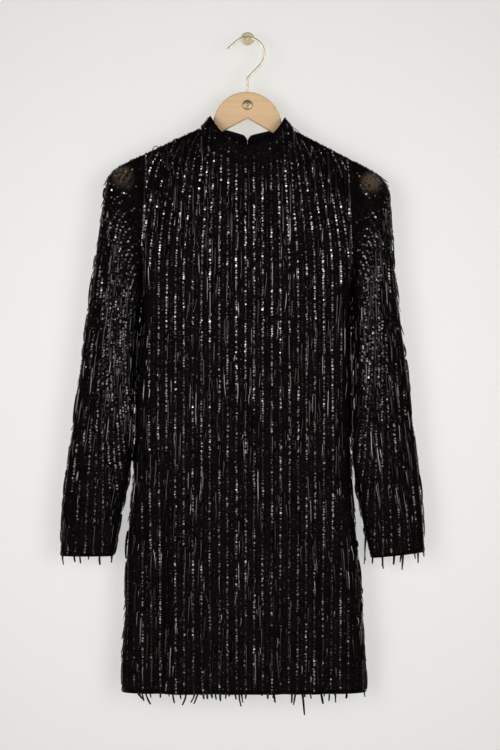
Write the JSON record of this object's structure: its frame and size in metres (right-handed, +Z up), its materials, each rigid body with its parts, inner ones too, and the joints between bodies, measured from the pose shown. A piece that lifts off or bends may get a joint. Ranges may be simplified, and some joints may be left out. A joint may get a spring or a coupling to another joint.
{
  "type": "sequin dress on a hanger and a wall peg",
  "caption": "Long-sleeved black sequin dress with a stand collar and loose strands, hung on a flat wooden hanger from a brass wall peg.",
  "frame": {"origin": "where the underside of the hook's crown bears on the wall peg", "axes": "+Z up, the dress's front towards -Y, +Y towards the wall, +X to the right seen from the front"},
  "size_m": [0.5828, 0.089, 1.0903],
  "materials": {
    "sequin_net": "black net covered in rows of glossy black sequins",
    "collar_net": "black net with a smooth dark lining inside",
    "strand": "glossy black strands of small sequins",
    "button": "glossy black",
    "beech": "satin lacquered pale beech",
    "brass": "satin brass",
    "brass_wire": "polished brass wire"
  },
  "bodies": {
    "root": {"front_panel": "sequin_net", "back_left": "sequin_net", "back_right": "sequin_net", "sleeve_left": "sequin_net", "sleeve_right": "sequin_net", "collar": "collar_net", "collar_button": "button", "hem_fringe_front": "strand", "hem_fringe_back": "strand", "cuff_fringe_left": "strand", "cuff_fringe_right": "strand", "hanger_board": "beech", "hanger_hook": "brass_wire", "hanger_rivet": "brass", "wall_peg": "brass"}
  },
  "joints": []
}
